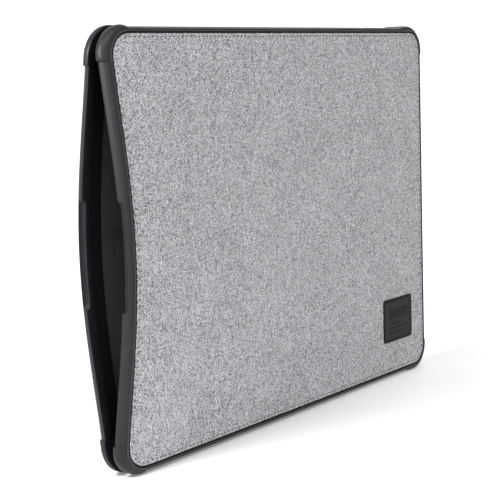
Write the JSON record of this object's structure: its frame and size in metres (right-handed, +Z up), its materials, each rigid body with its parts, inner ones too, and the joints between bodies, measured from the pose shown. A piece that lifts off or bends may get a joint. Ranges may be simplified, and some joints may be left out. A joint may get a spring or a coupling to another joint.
{
  "type": "slip-in sleeve for a tablet with keyboard",
  "caption": "Slip-in sleeve with heathered fabric panels in a moulded rubber frame, open at one short side between two bowed, springy lips.",
  "frame": {"origin": "middle of the footprint, on the surface that the corner bumpers stand on", "axes": "+X from the open mouth to the spine, +Y from the labelled front to the back, +Z up, along the short sides"},
  "size_m": [0.3282, 0.0358, 0.2342],
  "materials": {
    "cover_fabric": "heathered grey woven cloth",
    "frame_rubber": "satin charcoal",
    "bumper_rubber": "satin charcoal",
    "black_trim": "smooth black",
    "lining": "brushed soft lining",
    "foam": "closed-cell foam",
    "board": "plain stiffener board",
    "label": "embossed soft patch"
  },
  "bodies": {
    "sleeve_body": {"top_rail": "frame_rubber", "bottom_rail": "frame_rubber", "spine_rail": "frame_rubber", "spine_top_bumper": "bumper_rubber", "spine_bottom_bumper": "bumper_rubber", "top_edge_cushion": "foam", "bottom_edge_cushion": "foam", "spine_edge_cushion": "foam", "label_patch": "label", "front_cover": "cover_fabric", "front_foam": "foam", "front_board": "board", "front_lining": "lining", "front_seam_welt": "black_trim", "back_cover": "cover_fabric", "back_foam": "foam", "back_board": "board", "back_lining": "lining", "back_seam_welt": "black_trim"},
    "front_flap": {"front_mouth_cover": "cover_fabric", "front_mouth_lining": "lining", "front_mouth_welt": "black_trim", "front_lip": "frame_rubber", "front_mouth_facing": "black_trim", "front_mouth_top_bumper": "bumper_rubber", "front_mouth_bottom_bumper": "bumper_rubber"},
    "back_flap": {"back_mouth_cover": "cover_fabric", "back_mouth_lining": "lining", "back_mouth_welt": "black_trim", "back_lip": "frame_rubber", "back_mouth_facing": "black_trim", "back_mouth_top_bumper": "bumper_rubber", "back_mouth_bottom_bumper": "bumper_rubber"}
  },
  "joints": [
    {"name": "front_flap_flex", "type": "hinge", "parent": "sleeve_body", "child": "front_flap", "pos_m": [-0.1371, -0.013, 0.1171], "axis": [0, 0, 1], "range_deg": [-3, 14], "stiffness_Nm_per_rad": 0.5},
    {"name": "back_flap_flex", "type": "hinge", "parent": "sleeve_body", "child": "back_flap", "pos_m": [-0.1371, 0.013, 0.1171], "axis": [0, 0, -1], "range_deg": [-3, 14], "stiffness_Nm_per_rad": 0.5}
  ]
}
